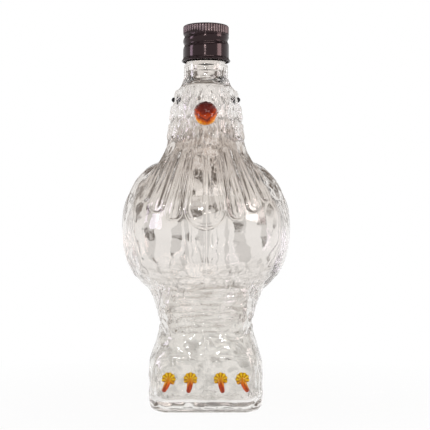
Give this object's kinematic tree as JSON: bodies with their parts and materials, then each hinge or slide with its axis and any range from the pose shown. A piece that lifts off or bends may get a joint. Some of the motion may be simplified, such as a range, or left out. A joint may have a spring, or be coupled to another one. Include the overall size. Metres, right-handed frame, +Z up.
{
  "type": "figural liquor decanter",
  "caption": "Clear blown-glass decanter shaped as a perched bird of prey on a block, with amber beak and claws and a black metal screw cap, for holding and pouring spirits.",
  "frame": {"origin": "on the table, under the axis of the neck and cap, at the middle of the block's foot", "axes": "+Z up along the neck's axis, +X to the viewer's right, the bird faces -Y"},
  "size_m": [0.1166, 0.107, 0.2621],
  "materials": {
    "clear_glass": "clear and glossy, with rippled relief",
    "cap_lacquer": "gloss black lacquer over aluminium",
    "liner_foam": "white foamed sealing disc",
    "amber_glass": "glossy amber, yellow to red brown",
    "black_glass": "glossy black bead"
  },
  "bodies": {
    "decanter": {"glass_body": "clear_glass", "beak": "amber_glass", "eye_left": "black_glass", "eye_right": "black_glass", "claw_left_outer": "amber_glass", "claw_left_inner": "amber_glass", "claw_right_inner": "amber_glass", "claw_right_outer": "amber_glass"},
    "seal": {"cap_liner": "liner_foam"},
    "cap": {"screw_cap": "cap_lacquer"}
  },
  "joints": [
    {"name": "cap_rise", "type": "slide", "parent": "decanter", "child": "seal", "axis": [0, 0, 1], "range_m": [0, 0.0241]},
    {"name": "cap_turn", "type": "hinge", "parent": "seal", "child": "cap", "pos_m": [0, 0, 0.25], "axis": [0, 0, 1], "range_deg": [0, 1440]}
  ],
  "couplings": [
    {"joint": "cap_rise", "follows": "cap_turn", "m_per_rad": 0.00095493}
  ]
}
